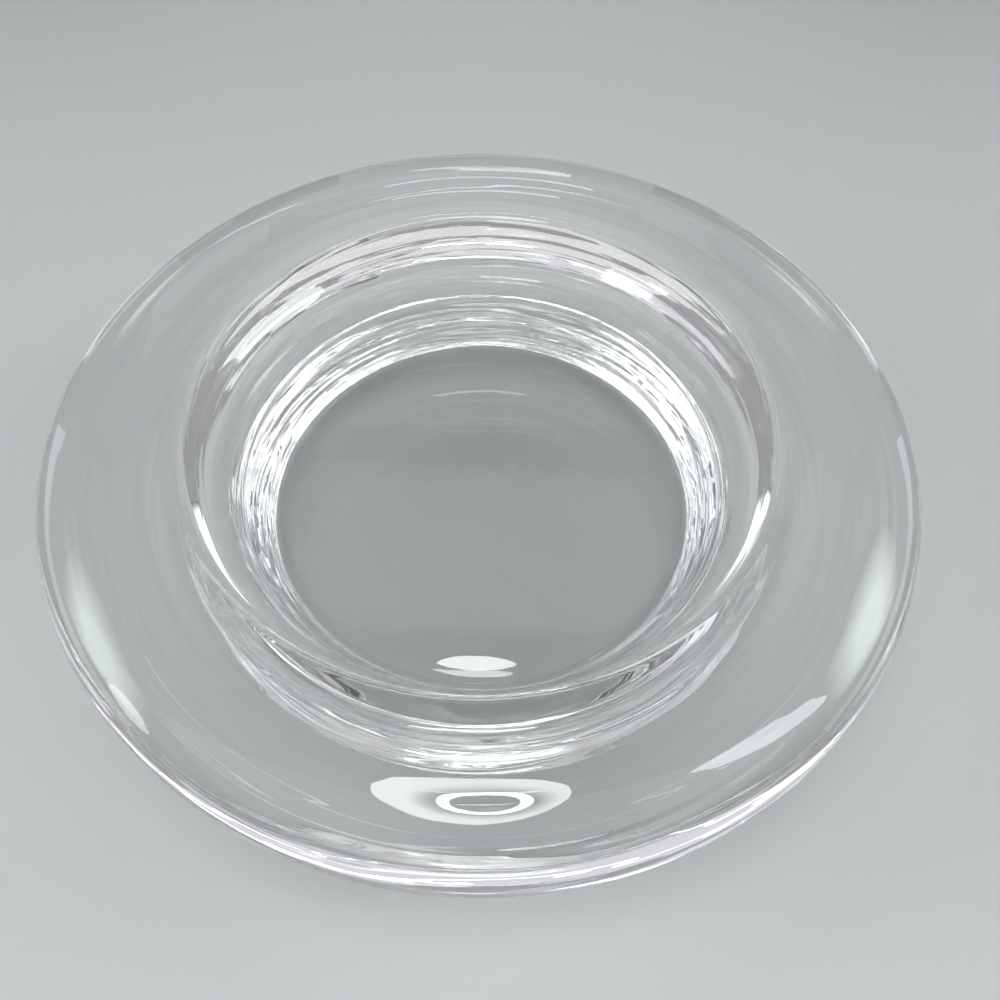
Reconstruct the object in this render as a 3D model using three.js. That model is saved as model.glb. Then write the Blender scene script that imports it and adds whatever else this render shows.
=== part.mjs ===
// Votive bowl: one solid piece of clear glass. A flat foot carries a thick floor and a
// leaning wall, and the wall's top rolls outward into a broad rim that is lens-shaped in
// section and overhangs the body all round. Open at the top, with nothing that moves.
//
// Millimetres, +Z up. The origin is the centre of the foot, on the surface it stands on.

import * as THREE from 'three';

// Well
const mouthRadius = 42.6; // inner wall where it meets the lip
const floorRadius = 33.8; // corner between the flat bottom and the wall, before it is rounded
const floorThickness = 16; // glass under the flat bottom
const coveRounding = 2; // rounded corner between bottom and wall
const kneeReach = 0.48; // share of the way out to the mouth at which the wall turns steeper
const kneeClimb = 0.35; // share of the way up to the crest at which it does
const kneeRounding = 2.6;

// Rim
const rimWidth = 22.4; // from the mouth to the outermost edge
const crestInset = 8.1; // from the mouth out to the crest
const topCurve = 29.25; // radius of the domed top in section
const bellyCurve = 32.5; // radius of the domed underside in section
const edgeRounding = 5.2; // outermost edge
const lipRounding = 2.3; // inner edge, where the top turns down into the well

// Body
const overallHeight = 39; // from the foot to the rim's crest
const footMargin = 8.8; // foot's radius beyond the floor's
const heelRounding = 3.2; // rounded corner of the foot
const neckMargin = 1.6; // how far the body's top is outside the mouth
const neckRounding = 6.6; // hollow corner between the body and the rim's underside

// Facets
const turnSteps = 80; // flats round the bowl
const roundingSteps = 5; // for each rounded corner of body and well
const bellySteps = 5;
const edgeSteps = 6; // each below and above the widest line
const topSteps = 6; // from the edge up to the crest
const crestSteps = 3; // from the crest in to the lip
const lipSteps = 5;

// Places that follow from the sizes
const outerRadius = mouthRadius + rimWidth;
const crestRadius = mouthRadius + crestInset;
const footRadius = floorRadius + footMargin;
const neckRadius = mouthRadius + neckMargin;

// A point a given share of the way from one number to another.
function between(from, to, share) {
  return from + (to - from) * share;
}

// Side of a right triangle from its long side and its other side.
function side(long, other) {
  return Math.sqrt(long ** 2 - other ** 2);
}

// The rim's circles. Edge and lip touch the top's circle from inside, and the edge touches the
// belly's circle from inside as well, so the surface runs on smoothly from one to the next.
const top = new THREE.Vector2(crestRadius, overallHeight - topCurve);
const edge = new THREE.Vector2(outerRadius - edgeRounding, 0);
edge.y = top.y + side(topCurve - edgeRounding, edge.x - crestRadius);
const belly = new THREE.Vector2(crestRadius, 0);
belly.y = edge.y + side(bellyCurve - edgeRounding, edge.x - crestRadius);
const lip = new THREE.Vector2(mouthRadius + lipRounding, 0);
lip.y = top.y + side(topCurve - lipRounding, lip.x - crestRadius);

const undersideHeight = belly.y - bellyCurve;
const knee = new THREE.Vector2(
  between(floorRadius, mouthRadius, kneeReach),
  between(floorThickness, overallHeight, kneeClimb),
);

// Direction from one point to another, as an angle.
function bearing(from, to) {
  return to.clone().sub(from).angle();
}

// Points of an arc round a centre, from one angle on to the next larger one.
function arc(centre, radius, startAngle, endAngle, steps) {
  return new THREE.ArcCurve(centre.x, centre.y, radius, startAngle, endAngle).getPoints(steps);
}

// Points along straight runs with rounded corners. A rounding too large for its runs is cut down.
function roundedRuns(start, corners, end) {
  const stops = [start, ...corners.map(({ at }) => at), end];
  const points = [start];
  corners.forEach(({ at, rounding }, index) => {
    const back = stops[index].clone().sub(at);
    const ahead = stops[index + 2].clone().sub(at);
    const turn = Math.PI - back.angleTo(ahead);
    const room = 0.48 * Math.min(
      back.length() * (index === 0 ? 2 : 1),
      ahead.length() * (index === corners.length - 1 ? 2 : 1),
    );
    const reach = Math.min(rounding * Math.tan(turn / 2), room);
    const handle = (4 / 3) * Math.tan(turn / 4) / Math.tan(turn / 2);
    const from = at.clone().addScaledVector(back.normalize(), reach);
    const to = at.clone().addScaledVector(ahead.normalize(), reach);
    const leaving = from.clone().lerp(at, handle);
    const arriving = to.clone().lerp(at, handle);
    const corner = new THREE.CubicBezierCurve(from, leaving, arriving, to);
    points.push(...corner.getPoints(roundingSteps));
  });
  return [...points, end];
}

// Foot, heel, body and neck, from the axis out to the lowest line of the rim's underside.
function bodyOutside() {
  return roundedRuns(
    new THREE.Vector2(0, 0),
    [
      { at: new THREE.Vector2(footRadius, 0), rounding: heelRounding },
      { at: new THREE.Vector2(neckRadius, undersideHeight), rounding: neckRounding },
    ],
    new THREE.Vector2(crestRadius, undersideHeight),
  );
}

// Where the lip's circle runs out into the straight wall above the knee.
function lipEnd() {
  const lean = bearing(knee, lip) + Math.asin(lipRounding / knee.distanceTo(lip));
  return lean + Math.PI / 2;
}

// Underside, edge, top and lip of the rim.
function rolledRim() {
  const edgeStart = bearing(belly, edge) - 2 * Math.PI;
  const edgeEnd = bearing(top, edge);
  const lipStart = bearing(top, lip);
  return [
    ...arc(belly, bellyCurve, -Math.PI / 2, edgeStart, bellySteps).slice(1),
    ...arc(edge, edgeRounding, edgeStart, 0, edgeSteps).slice(1),
    ...arc(edge, edgeRounding, 0, edgeEnd, edgeSteps).slice(1),
    ...arc(top, topCurve, edgeEnd, Math.PI / 2, topSteps).slice(1),
    ...arc(top, topCurve, Math.PI / 2, lipStart, crestSteps).slice(1),
    ...arc(lip, lipRounding, lipStart, lipEnd(), lipSteps).slice(1),
  ];
}

// Wall, knee, rounded corner and flat bottom of the well, back to the axis.
function well(wallTop) {
  return roundedRuns(
    wallTop,
    [
      { at: knee, rounding: kneeRounding },
      { at: new THREE.Vector2(floorRadius, floorThickness), rounding: coveRounding },
    ],
    new THREE.Vector2(0, floorThickness),
  );
}

// Half section of the glass, from the middle of the foot round the outside to the middle of the floor.
function halfSection() {
  const outside = [...bodyOutside(), ...rolledRim()];
  return [...outside.slice(0, -1), ...well(outside.at(-1))];
}

const clearGlass = new THREE.MeshStandardMaterial({
  name: 'clear_glass',
  color: 0xe3ebe8,
  roughness: 0.04,
  metalness: 0,
  transparent: true,
  opacity: 0.35,
});

// The bowl itself: the half section turned once round the vertical axis.
function glassBowl() {
  const geometry = new THREE.LatheGeometry(halfSection(), turnSteps);
  geometry.rotateX(Math.PI / 2);
  const mesh = new THREE.Mesh(geometry, clearGlass);
  mesh.name = 'glass_bowl';
  return mesh;
}

const votiveBowl = new THREE.Group();
votiveBowl.name = 'votive_bowl';
votiveBowl.add(glassBowl());

export default votiveBowl;
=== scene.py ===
"""Looks of the votive bowl: one thick piece of clear, hand-finished glass on a plain pale floor.

The glass is a body of revolution, drawn finely, with the slight waves and the slightly
uneven outline that hand forming leaves. The scene is in metres, +Z up, and the section of
the bowl with its waves is in millimetres.
"""

import math

import bpy
from mathutils import Matrix, Quaternion, Vector, noise


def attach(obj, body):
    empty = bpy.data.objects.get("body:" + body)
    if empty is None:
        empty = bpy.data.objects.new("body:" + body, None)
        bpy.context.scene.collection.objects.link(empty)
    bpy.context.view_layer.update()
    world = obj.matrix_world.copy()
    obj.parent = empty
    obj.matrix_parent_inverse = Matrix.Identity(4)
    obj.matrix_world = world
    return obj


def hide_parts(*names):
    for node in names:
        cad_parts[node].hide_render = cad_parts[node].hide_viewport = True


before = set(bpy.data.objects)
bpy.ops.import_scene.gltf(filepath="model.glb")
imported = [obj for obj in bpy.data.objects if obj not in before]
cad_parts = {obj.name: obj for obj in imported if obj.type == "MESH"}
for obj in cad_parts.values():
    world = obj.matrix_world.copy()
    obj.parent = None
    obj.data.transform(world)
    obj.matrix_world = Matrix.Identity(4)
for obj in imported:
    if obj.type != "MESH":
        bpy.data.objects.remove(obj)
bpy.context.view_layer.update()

MM = 0.001
TURN = 2 * math.pi

# Section of the bowl, in millimetres
MOUTH_RADIUS = 42.6
FLOOR_RADIUS = 33.8
FLOOR_THICKNESS = 16.0
COVE_ROUNDING = 2.0  # corner between the flat floor and the wall
KNEE_REACH = 0.48  # share of the way out from the floor's corner to the mouth
KNEE_CLIMB = 0.35  # share of the way up from the floor to the crest
RIM_WIDTH = 22.4  # from the mouth to the outermost edge
CREST_INSET = 8.1  # from the mouth out to the crest
TOP_CURVE = 29.25
BELLY_CURVE = 32.5  # underside of the rim
EDGE_ROUNDING = 5.2
LIP_ROUNDING = 2.3
OVERALL_HEIGHT = 39.0
FOOT_MARGIN = 8.8  # foot's radius beyond the floor's
HEEL_ROUNDING = 3.2
NECK_MARGIN = 1.6  # how far the body's top is outside the mouth
NECK_ROUNDING = 6.6

# Raised line along the knee of the wall, in millimetres
KNEE_LINE_HEIGHT = 0.25
KNEE_LINE_WIDTH = 0.4  # from its top to where it has fallen to 0.37 of its height
KNEE_LINE_REACH = 3  # widths from its top to where almost nothing of it is left

# Flattening of the rim's outline at the front left
FLATTENING = 0.0155  # share of the radius drawn in for each rim's width outside the crest
FLAT_ANGLE = math.radians(232)  # its middle, anticlockwise from +X
FLAT_SHARPNESS = 8  # power of the cosine with which it fades out to both sides

# Fineness of the mesh, with spacings in millimetres along the section
TURN_STEPS = 240  # points round the bowl
POINT_SPACING = 0.3
KNEE_LINE_SPACING = 0.1
FLAT_SPACING = 1.6  # on the level faces
LEAST_ARC_STEPS = 3

# Waves of the glass: strength of the long swells and of the turned ripples, in millimetres
WAVES = {
    "foot": (0.0, 0.0),
    "body": (0.10, 0.090),
    "neck": (0.10, 0.090),
    "belly": (0.08, 0.050),
    "top": (0.014, 0.004),
    "lip": (0.07, 0.050),
    "wall": (0.05, 0.056),
    "floor": (0.004, 0.003),
}
WAVE_BLEND = 7  # points on each side over which one stretch's waves pass into the next's

# Kinds of noise in the waves: how fast each changes round the bowl and per millimetre along
# the section, and where it starts, so that no two are alike
SWELL = (2.0, 0.07, 0)
TURNED_RIPPLE = (1.4, 0.36, 7)
FINE_RIPPLE = (1.2, 1.7, 40)
CREASE = (1.3, 0.45, 90)
FINE_SHARE = 0.7  # of the fine ripples beside the turned ones
CREASE_SHARE = 1.4  # of the creases beside the turned ripples

# Materials
GLASS_TINT = (0.995, 1.0, 0.998, 1)
GLASS_IOR = 1.52
LINE_RATE = 500.0  # noise units per metre of height in the finest lines, which only the shader draws
LINE_DEPTH = 0.05 * MM
FLOOR_COLOUR = (0.53, 0.535, 0.54, 1)
CARD_COLOUR = (0.10, 0.10, 0.10, 1)

# Floor, in metres
FLOOR_SIZE = 6
FOOT_CLEARANCE = 0.0002  # air between the floor and the foot

# Camera, solved from the photograph: metres, degrees, pixels of the square frame
EYE = Vector((0.00304, -0.0804, 0.13937))
PITCH = math.radians(57.3)
ROLL = math.radians(1.152)
FOCAL_PIXELS = 875.0
FRAME_PIXELS = 1000
SENSOR_WIDTH = 36
NEAREST_SEEN = 0.005

# Studio, in metres
WHITE = (1, 1, 1)
COOL = (0.95, 0.96, 1.0)
GREEN = (0.93, 1.0, 0.97)
PALE_GREEN = (0.88, 1.0, 0.92)
LAVENDER = (0.93, 0.93, 1.0)
SURROUNDINGS = (0.32, 0.32, 0.33, 1)
CEILING_HEIGHT = 1.0
FAR_SLATS = ((0.42, 0.69), (0.77, 0.97), (1.05, 1.13), (1.17, 1.30))  # where each starts and ends
SLAT_WIDTH = 0.75
CARD_SIZE = (0.10, 0.08)
DISC_CORNERS = 64

# Brightness of the discs, as (distance from a centre, level) pairs in shares of their radii
LAMP_LEVELS = ((0.345, 0.06), (0.36, 1.0), (0.47, 1.0), (0.49, 0.06), (0.80, 0.46))
LAMP_CENTRE = (0.135, -0.083, 0)
GLOW_LEVELS = ((0.35, 1.0), (1.0, 0.0))
DISC_CENTRE = (0, 0, 0)

LIGHT_BOUNCES = 24


def between(a, b, share):
    return a + (b - a) * share


# Places that follow from the sizes
OUTER_RADIUS = MOUTH_RADIUS + RIM_WIDTH
CREST_RADIUS = MOUTH_RADIUS + CREST_INSET
FOOT_RADIUS = FLOOR_RADIUS + FOOT_MARGIN
NECK_RADIUS = MOUTH_RADIUS + NECK_MARGIN
KNEE = Vector((between(FLOOR_RADIUS, MOUTH_RADIUS, KNEE_REACH),
               between(FLOOR_THICKNESS, OVERALL_HEIGHT, KNEE_CLIMB)))


def side(long, other):
    """Side of a right triangle from its long side and its other side."""
    return math.sqrt(long ** 2 - other ** 2)


def bearing(a, b):
    """Direction from a to b, as an angle."""
    return math.atan2(b.y - a.y, b.x - a.x)


def run(a, b, spacing=POINT_SPACING):
    """Points after a on the straight way to b."""
    steps = max(1, round((b - a).length / spacing))
    return [a.lerp(b, i / steps) for i in range(1, steps + 1)]


def arc(centre, radius, start, end):
    """Points after the first one of an arc round a centre."""
    steps = max(LEAST_ARC_STEPS, round(abs(end - start) * radius / POINT_SPACING))
    angles = [between(start, end, i / steps) for i in range(1, steps + 1)]
    return [centre + radius * Vector((math.cos(a), math.sin(a))) for a in angles]


def rounded(before, corner, after, radius):
    """All points of the arc that rounds a corner between two straight runs."""
    back = (before - corner).normalized()
    ahead = (after - corner).normalized()
    half = back.angle(ahead) / 2
    centre = corner + (back + ahead).normalized() * radius / math.sin(half)
    reach = radius / math.tan(half)
    start = bearing(centre, corner + back * reach)
    turn = bearing(centre, corner + ahead * reach) - start
    turn = (turn + math.pi) % TURN - math.pi
    return [corner + back * reach] + arc(centre, radius, start, start + turn)


def half_section():
    """Section as (zone, points) stretches, from the middle of the foot round to the middle of the floor."""
    # Centres of the rim's circles, which touch one another from inside
    top = Vector((CREST_RADIUS, OVERALL_HEIGHT - TOP_CURVE))
    edge_reach = OUTER_RADIUS - EDGE_ROUNDING - CREST_RADIUS
    edge = top + Vector((edge_reach, side(TOP_CURVE - EDGE_ROUNDING, edge_reach)))
    belly = edge + Vector((-edge_reach, side(BELLY_CURVE - EDGE_ROUNDING, edge_reach)))
    lip_reach = CREST_INSET - LIP_ROUNDING
    lip = top + Vector((-lip_reach, side(TOP_CURVE - LIP_ROUNDING, lip_reach)))

    edge_start = bearing(belly, edge)
    edge_end = bearing(top, edge)
    lip_start = bearing(top, lip)
    lip_end = bearing(KNEE, lip) + math.asin(LIP_ROUNDING / (lip - KNEE).length) + math.pi / 2
    lip_arc = arc(lip, LIP_ROUNDING, lip_start, lip_end)
    wall_top = lip_arc[-1]

    # Corners of body and well, before they are rounded
    underside = belly.y - BELLY_CURVE
    foot_middle = Vector((0, 0))
    heel = Vector((FOOT_RADIUS, 0))
    neck = Vector((NECK_RADIUS, underside))
    under_crest = Vector((CREST_RADIUS, underside))
    cove = Vector((FLOOR_RADIUS, FLOOR_THICKNESS))
    floor_middle = Vector((0, FLOOR_THICKNESS))
    heel_arc = rounded(foot_middle, heel, neck, HEEL_ROUNDING)
    neck_arc = rounded(heel, neck, under_crest, NECK_ROUNDING)
    cove_arc = rounded(KNEE, cove, floor_middle, COVE_ROUNDING)

    # Ends of the knee's raised line
    above = KNEE + (wall_top - KNEE).normalized() * KNEE_LINE_REACH * KNEE_LINE_WIDTH
    below = KNEE + (cove - KNEE).normalized() * KNEE_LINE_REACH * KNEE_LINE_WIDTH
    return [
        ("foot", [foot_middle] + run(foot_middle, heel_arc[0], FLAT_SPACING)),
        ("body", heel_arc[1:] + run(heel_arc[-1], neck_arc[0])),
        ("neck", neck_arc[1:] + run(neck_arc[-1], under_crest)),
        ("belly", arc(belly, BELLY_CURVE, -math.pi / 2, edge_start)),
        ("top", arc(edge, EDGE_ROUNDING, edge_start, edge_end)),
        ("top", arc(top, TOP_CURVE, edge_end, lip_start)),
        ("lip", lip_arc),
        ("wall", run(wall_top, above) + run(above, KNEE, KNEE_LINE_SPACING)
         + run(KNEE, below, KNEE_LINE_SPACING) + run(below, cove_arc[0])),
        ("floor", cove_arc[1:] + run(cove_arc[-1], floor_middle, FLAT_SPACING)),
    ]


def wave_strengths(section):
    """Swell and ripple for every point of the section, blended where stretches meet."""
    plain = [Vector(WAVES[zone]) for zone, points in section for _ in points]
    blended = []
    for i in range(len(plain)):
        near = plain[max(0, i - WAVE_BLEND):i + WAVE_BLEND + 1]
        blended.append(sum(near, Vector((0, 0))) / len(near))
    return blended


def grain(along, angle, kind):
    """Noise of one kind at a place along the section and round the bowl."""
    round_rate, along_rate, start = kind
    x, y = math.cos(angle), math.sin(angle)
    return noise.noise(Vector((x * round_rate, y * round_rate, along * along_rate + start)))


def wave(along, angle, swell, ripple):
    """Height of the waves at a place along the section and round the bowl."""
    broad = grain(along, angle, SWELL)
    turned = grain(along, angle, TURNED_RIPPLE)
    fine = grain(along, angle, FINE_RIPPLE)
    crease = abs(grain(along, angle, CREASE))
    return swell * broad + ripple * (turned + FINE_SHARE * fine + CREASE_SHARE * crease)


def knee_line(point):
    """Height of the narrow raised line that runs along the knee of the wall."""
    away = (point - KNEE).length / KNEE_LINE_WIDTH
    return KNEE_LINE_HEIGHT * math.exp(-away ** 2)


def out_of_round(radius, angle):
    """Radius after the edge of the rim is flattened a little at the front left."""
    share = min(1.0, max(0.0, (radius - CREST_RADIUS) / RIM_WIDTH))
    fade = max(0.0, math.cos(angle - FLAT_ANGLE)) ** FLAT_SHARPNESS
    return radius * (1 - FLATTENING * share * fade)


def surface_point(point, outward, along, angle, strengths):
    """Place on the glass, in metres, of a point of the section at an angle round the bowl."""
    lift = wave(along, angle, *strengths) + knee_line(point)
    radius = out_of_round(point.x, angle) + outward.x * lift
    height = max(0.0, point.y + outward.y * lift)
    return radius * math.cos(angle) * MM, radius * math.sin(angle) * MM, height * MM


def ring_faces(rings):
    """Faces between neighbouring rings, with three corners where a ring is one point on the axis."""
    faces = []
    for low, high in zip(rings, rings[1:]):
        for step in range(TURN_STEPS):
            follow = (step + 1) % TURN_STEPS
            corners = [low[step], low[follow], high[follow], high[step]]
            faces.append(list(dict.fromkeys(corners)))
    return faces


def bowl_mesh():
    """Mesh of the bowl in metres, with a ring of points for each point of the section."""
    section = half_section()
    points = [point for zone, stretch in section for point in stretch]
    strengths = wave_strengths(section)
    last = len(points) - 1
    along = 0.0
    rings = []
    vertices = []
    for i, point in enumerate(points):
        before = points[max(i - 1, 0)]
        after = points[min(i + 1, last)]
        direction = (after - before).normalized()
        outward = Vector((direction.y, -direction.x))
        along += (point - before).length
        if i in (0, last):
            rings.append([len(vertices)] * TURN_STEPS)
            vertices.append((0, 0, point.y * MM))
            continue
        rings.append(range(len(vertices), len(vertices) + TURN_STEPS))
        for step in range(TURN_STEPS):
            angle = TURN * step / TURN_STEPS
            vertices.append(surface_point(point, outward, along, angle, strengths[i]))
    mesh = bpy.data.meshes.new("bowl_glass")
    mesh.from_pydata(vertices, [], ring_faces(rings))
    mesh.update()
    mesh.shade_smooth()
    return mesh


def node_material(name):
    material = bpy.data.materials.new(name)
    material.use_nodes = True
    tree = material.node_tree
    return material, tree, tree.nodes["Principled BSDF"]


def add_node(tree, kind, **settings):
    """A new node. Each setting is the value of a socket of that name, or else a property."""
    node = tree.nodes.new(kind)
    for key, value in settings.items():
        if key in node.inputs:
            node.inputs[key].default_value = value
        else:
            setattr(node, key, value)
    return node


def clear_glass():
    """Clear glass with the finest lines of its turning, which run level round the bowl."""
    material, tree, shader = node_material("clear_glass")
    shader.inputs["Base Color"].default_value = GLASS_TINT
    shader.inputs["Transmission Weight"].default_value = 1.0
    shader.inputs["Roughness"].default_value = 0.0
    shader.inputs["IOR"].default_value = GLASS_IOR
    link = tree.links.new
    place = add_node(tree, "ShaderNodeTexCoord")
    level = add_node(tree, "ShaderNodeVectorMath", operation="MULTIPLY")
    level.inputs[1].default_value = (1, 1, 0)
    round_place = add_node(tree, "ShaderNodeVectorMath", operation="NORMALIZE")
    height = add_node(tree, "ShaderNodeVectorMath", operation="MULTIPLY")
    height.inputs[1].default_value = (0, 0, LINE_RATE)
    joined = add_node(tree, "ShaderNodeVectorMath", operation="ADD")
    lines = add_node(tree, "ShaderNodeTexNoise", Scale=1.6, Detail=2.0, Roughness=0.6)
    bump = add_node(tree, "ShaderNodeBump", Strength=1.0, Distance=LINE_DEPTH)
    link(place.outputs["Object"], level.inputs[0])
    link(level.outputs[0], round_place.inputs[0])
    link(place.outputs["Object"], height.inputs[0])
    link(round_place.outputs[0], joined.inputs[0])
    link(height.outputs[0], joined.inputs[1])
    link(joined.outputs[0], lines.inputs["Vector"])
    link(lines.outputs["Fac"], bump.inputs["Height"])
    link(bump.outputs["Normal"], shader.inputs["Normal"])
    return material


def glowing(name, radiance, colour, levels, centre):
    """Light whose level follows the distance from a centre."""
    material, tree, shader = node_material(name)
    shader.inputs["Base Color"].default_value = (0, 0, 0, 1)
    shader.inputs["Emission Color"].default_value = (*colour, 1)
    link = tree.links.new
    coordinates = add_node(tree, "ShaderNodeTexCoord")
    centred = add_node(tree, "ShaderNodeVectorMath", operation="SUBTRACT")
    centred.inputs[1].default_value = centre
    distance = add_node(tree, "ShaderNodeVectorMath", operation="LENGTH")
    glow = add_node(tree, "ShaderNodeValToRGB")
    stops = glow.color_ramp.elements
    while len(stops) < len(levels):
        stops.new(0.5)
    for stop, (position, level) in zip(stops, levels):
        stop.position = position
        stop.color = (level, level, level, 1)
    strength = add_node(tree, "ShaderNodeMath", operation="MULTIPLY")
    strength.inputs[1].default_value = radiance
    link(coordinates.outputs["Object"], centred.inputs[0])
    link(centred.outputs[0], distance.inputs[0])
    link(distance.outputs["Value"], glow.inputs["Fac"])
    link(glow.outputs["Color"], strength.inputs[0])
    link(strength.outputs[0], shader.inputs["Emission Strength"])
    return material


def matt(name, colour, roughness):
    material, tree, shader = node_material(name)
    shader.inputs["Base Color"].default_value = colour
    shader.inputs["Roughness"].default_value = roughness
    return material


def glass_bowl():
    mesh = bowl_mesh()
    mesh.materials.append(clear_glass())
    bowl = bpy.data.objects.new("bowl_glass", mesh)
    bpy.context.scene.collection.objects.link(bowl)
    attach(bowl, "root")
    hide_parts("glass_bowl")


def pale_floor():
    material = matt("pale_floor", FLOOR_COLOUR, roughness=0.75)
    bpy.ops.mesh.primitive_plane_add(size=FLOOR_SIZE, location=(0, 0, -FOOT_CLEARANCE))
    floor = bpy.context.object
    floor.name = "floor"
    floor.data.materials.append(material)


def facing(place, aim, axis="-Z"):
    """Rotation that points an object's axis from its place to an aim."""
    return (Vector(aim) - Vector(place)).to_track_quat(axis, "Y")


def panel(name, place, aim, size, radiance, colour, roll=0.0, shape="RECTANGLE"):
    """A soft lamp of even brightness, seen by the glass but not by the camera."""
    width, height = size
    lamp = bpy.data.lights.new(name, "AREA")
    lamp.shape = shape
    lamp.size = width
    lamp.size_y = height
    area = width * height * (math.pi / 4 if shape == "ELLIPSE" else 1)
    lamp.energy = radiance * area * math.pi
    lamp.color = colour
    holder = bpy.data.objects.new(name, lamp)
    holder.location = place
    turn = facing(place, aim) @ Quaternion((0, 0, 1), math.radians(roll))
    holder.rotation_euler = turn.to_euler()
    holder.visible_camera = False
    bpy.context.scene.collection.objects.link(holder)


def glowing_disc(name, place, aim, radii, radiance, colour, levels, centre=DISC_CENTRE):
    """An oval disc whose brightness changes with the distance from a centre."""
    material = glowing(name, radiance, colour, levels, centre)
    rotation = facing(place, aim).to_euler()
    bpy.ops.mesh.primitive_circle_add(vertices=DISC_CORNERS, radius=1, fill_type="NGON",
                                      location=place, rotation=rotation)
    lamp = bpy.context.object
    lamp.name = name
    lamp.scale = (*radii, 1)
    lamp.data.materials.append(material)
    lamp.visible_camera = False


def dark_card(name, place):
    """An upright dark grey card, facing the bowl, that the glass shows as a dark accent."""
    material = matt("dark_card", CARD_COLOUR, roughness=0.9)
    rotation = facing(place, (0, 0, place[2]), "Z").to_euler()
    bpy.ops.mesh.primitive_plane_add(size=1, location=place, rotation=rotation)
    card = bpy.context.object
    card.name = name
    card.scale = (*CARD_SIZE, 1)
    card.data.materials.append(material)
    card.visible_camera = False


def wide_panels():
    """Ceiling slats behind the bowl, upright strips on both sides and a ceiling in front."""
    for start, end in FAR_SLATS:
        middle = (start + end) / 2
        place = (0, middle, CEILING_HEIGHT)
        panel("far_slat", place, (0, middle, 0), (SLAT_WIDTH, end - start), 0.42, WHITE)
    panel("left_strip", (-1.0, 0.08, 0.29), (0, 0.08, 0.29), (1.0, 0.22), 2.0, COOL)
    panel("right_strip", (1.0, 0.12, 0.29), (0, 0.12, 0.29), (1.0, 0.22), 2.0, COOL)
    panel("front_ceiling", (0, -0.58, CEILING_HEIGHT), (0, -0.58, 0), (1.9, 0.80), 0.75, COOL)


def small_panels():
    """A bar over the bowl, two tubes and a panel behind it, and two patches close behind it."""
    panel("bar", (-0.006, 0.06, 0.240), (-0.006, 0.06, 0), (0.036, 0.008), 14.0, GREEN, shape="ELLIPSE")
    panel("low_tube", (-0.017, 0.928, 0.536), (0, 0.062, 0.036), (0.32, 0.026), 4.6, COOL)
    panel("high_tube", (-0.03, 0.758, 0.75), (0, 0.058, 0.037), (0.16, 0.024), 5.0, COOL)
    panel("back_panel", (0, 1.0, 0.6), (0, 0, 0), (1.6, 0.36), 0.42, LAVENDER)
    panel("left_patch", (-0.14, 0.20, 0.17), (0, 0, 0.02), (0.08, 0.08), 0.5, GREEN)
    panel("right_patch", (0.08, 0.22, 0.17), (0, 0, 0.02), (0.035, 0.07), 0.4, COOL)


def windows():
    """Two slanting oval lamps, left and right of the bowl, in front of its middle."""
    panel("left_window", (-0.40, -0.135, 0.26), (-0.04, -0.045, 0.037), (0.08, 0.13), 6.0, COOL,
          roll=30, shape="ELLIPSE")
    panel("right_window", (0.447, -0.125, 0.598), (0.035, -0.047, 0.038), (0.065, 0.30), 7.0, COOL,
          roll=25, shape="ELLIPSE")


def glowing_discs():
    """The round lamp with its bright ring, above the front edge, and a soft glow on each side."""
    mouth = (0, 0, 0.037)
    glowing_disc("round_lamp", (-0.0045, -0.079, 0.236), (-0.0045, -0.079, 0), (0.048, 0.041), 26.0,
                 GREEN, LAMP_LEVELS, LAMP_CENTRE)
    glowing_disc("left_glow", (-0.83, -0.02, 0.60), mouth, (0.28, 0.17), 6.8, PALE_GREEN, GLOW_LEVELS)
    glowing_disc("right_glow", (0.83, 0.10, 0.62), mouth, (0.27, 0.19), 7.6, PALE_GREEN, GLOW_LEVELS)


def dark_cards():
    dark_card("left_card", (-0.13, 0.24, 0.045))
    dark_card("right_card", (0.13, 0.24, 0.045))


def surroundings():
    world = bpy.data.worlds.new("studio")
    bpy.context.scene.world = world
    world.use_nodes = True
    world.node_tree.nodes["Background"].inputs["Color"].default_value = SURROUNDINGS


def studio():
    wide_panels()
    small_panels()
    windows()
    glowing_discs()
    dark_cards()
    surroundings()


def camera():
    """Camera that looks along +Y and down, turned a little about its line of sight."""
    forward = Vector((0, math.cos(PITCH), -math.sin(PITCH)))
    level = Vector((1, 0, 0))
    down = forward.cross(level)
    right = level * math.cos(ROLL) - down * math.sin(ROLL)
    up = -(level * math.sin(ROLL) + down * math.cos(ROLL))
    lens = bpy.data.cameras.new("camera")
    lens.sensor_width = SENSOR_WIDTH
    lens.lens = FOCAL_PIXELS / FRAME_PIXELS * lens.sensor_width
    lens.clip_start = NEAREST_SEEN
    holder = bpy.data.objects.new("camera", lens)
    turn = Matrix((right, up, -forward)).transposed()
    holder.matrix_world = Matrix.Translation(EYE) @ turn.to_4x4()
    bpy.context.scene.collection.objects.link(holder)
    bpy.context.scene.camera = holder


def light_paths():
    """Bounces enough for light that is trapped in the thick glass before it leaves."""
    cycles = bpy.context.scene.cycles
    cycles.max_bounces = LIGHT_BOUNCES
    cycles.glossy_bounces = LIGHT_BOUNCES
    cycles.transmission_bounces = LIGHT_BOUNCES


glass_bowl()
pale_floor()
studio()
camera()
light_paths()
bpy.context.scene.view_settings.view_transform = "Standard"
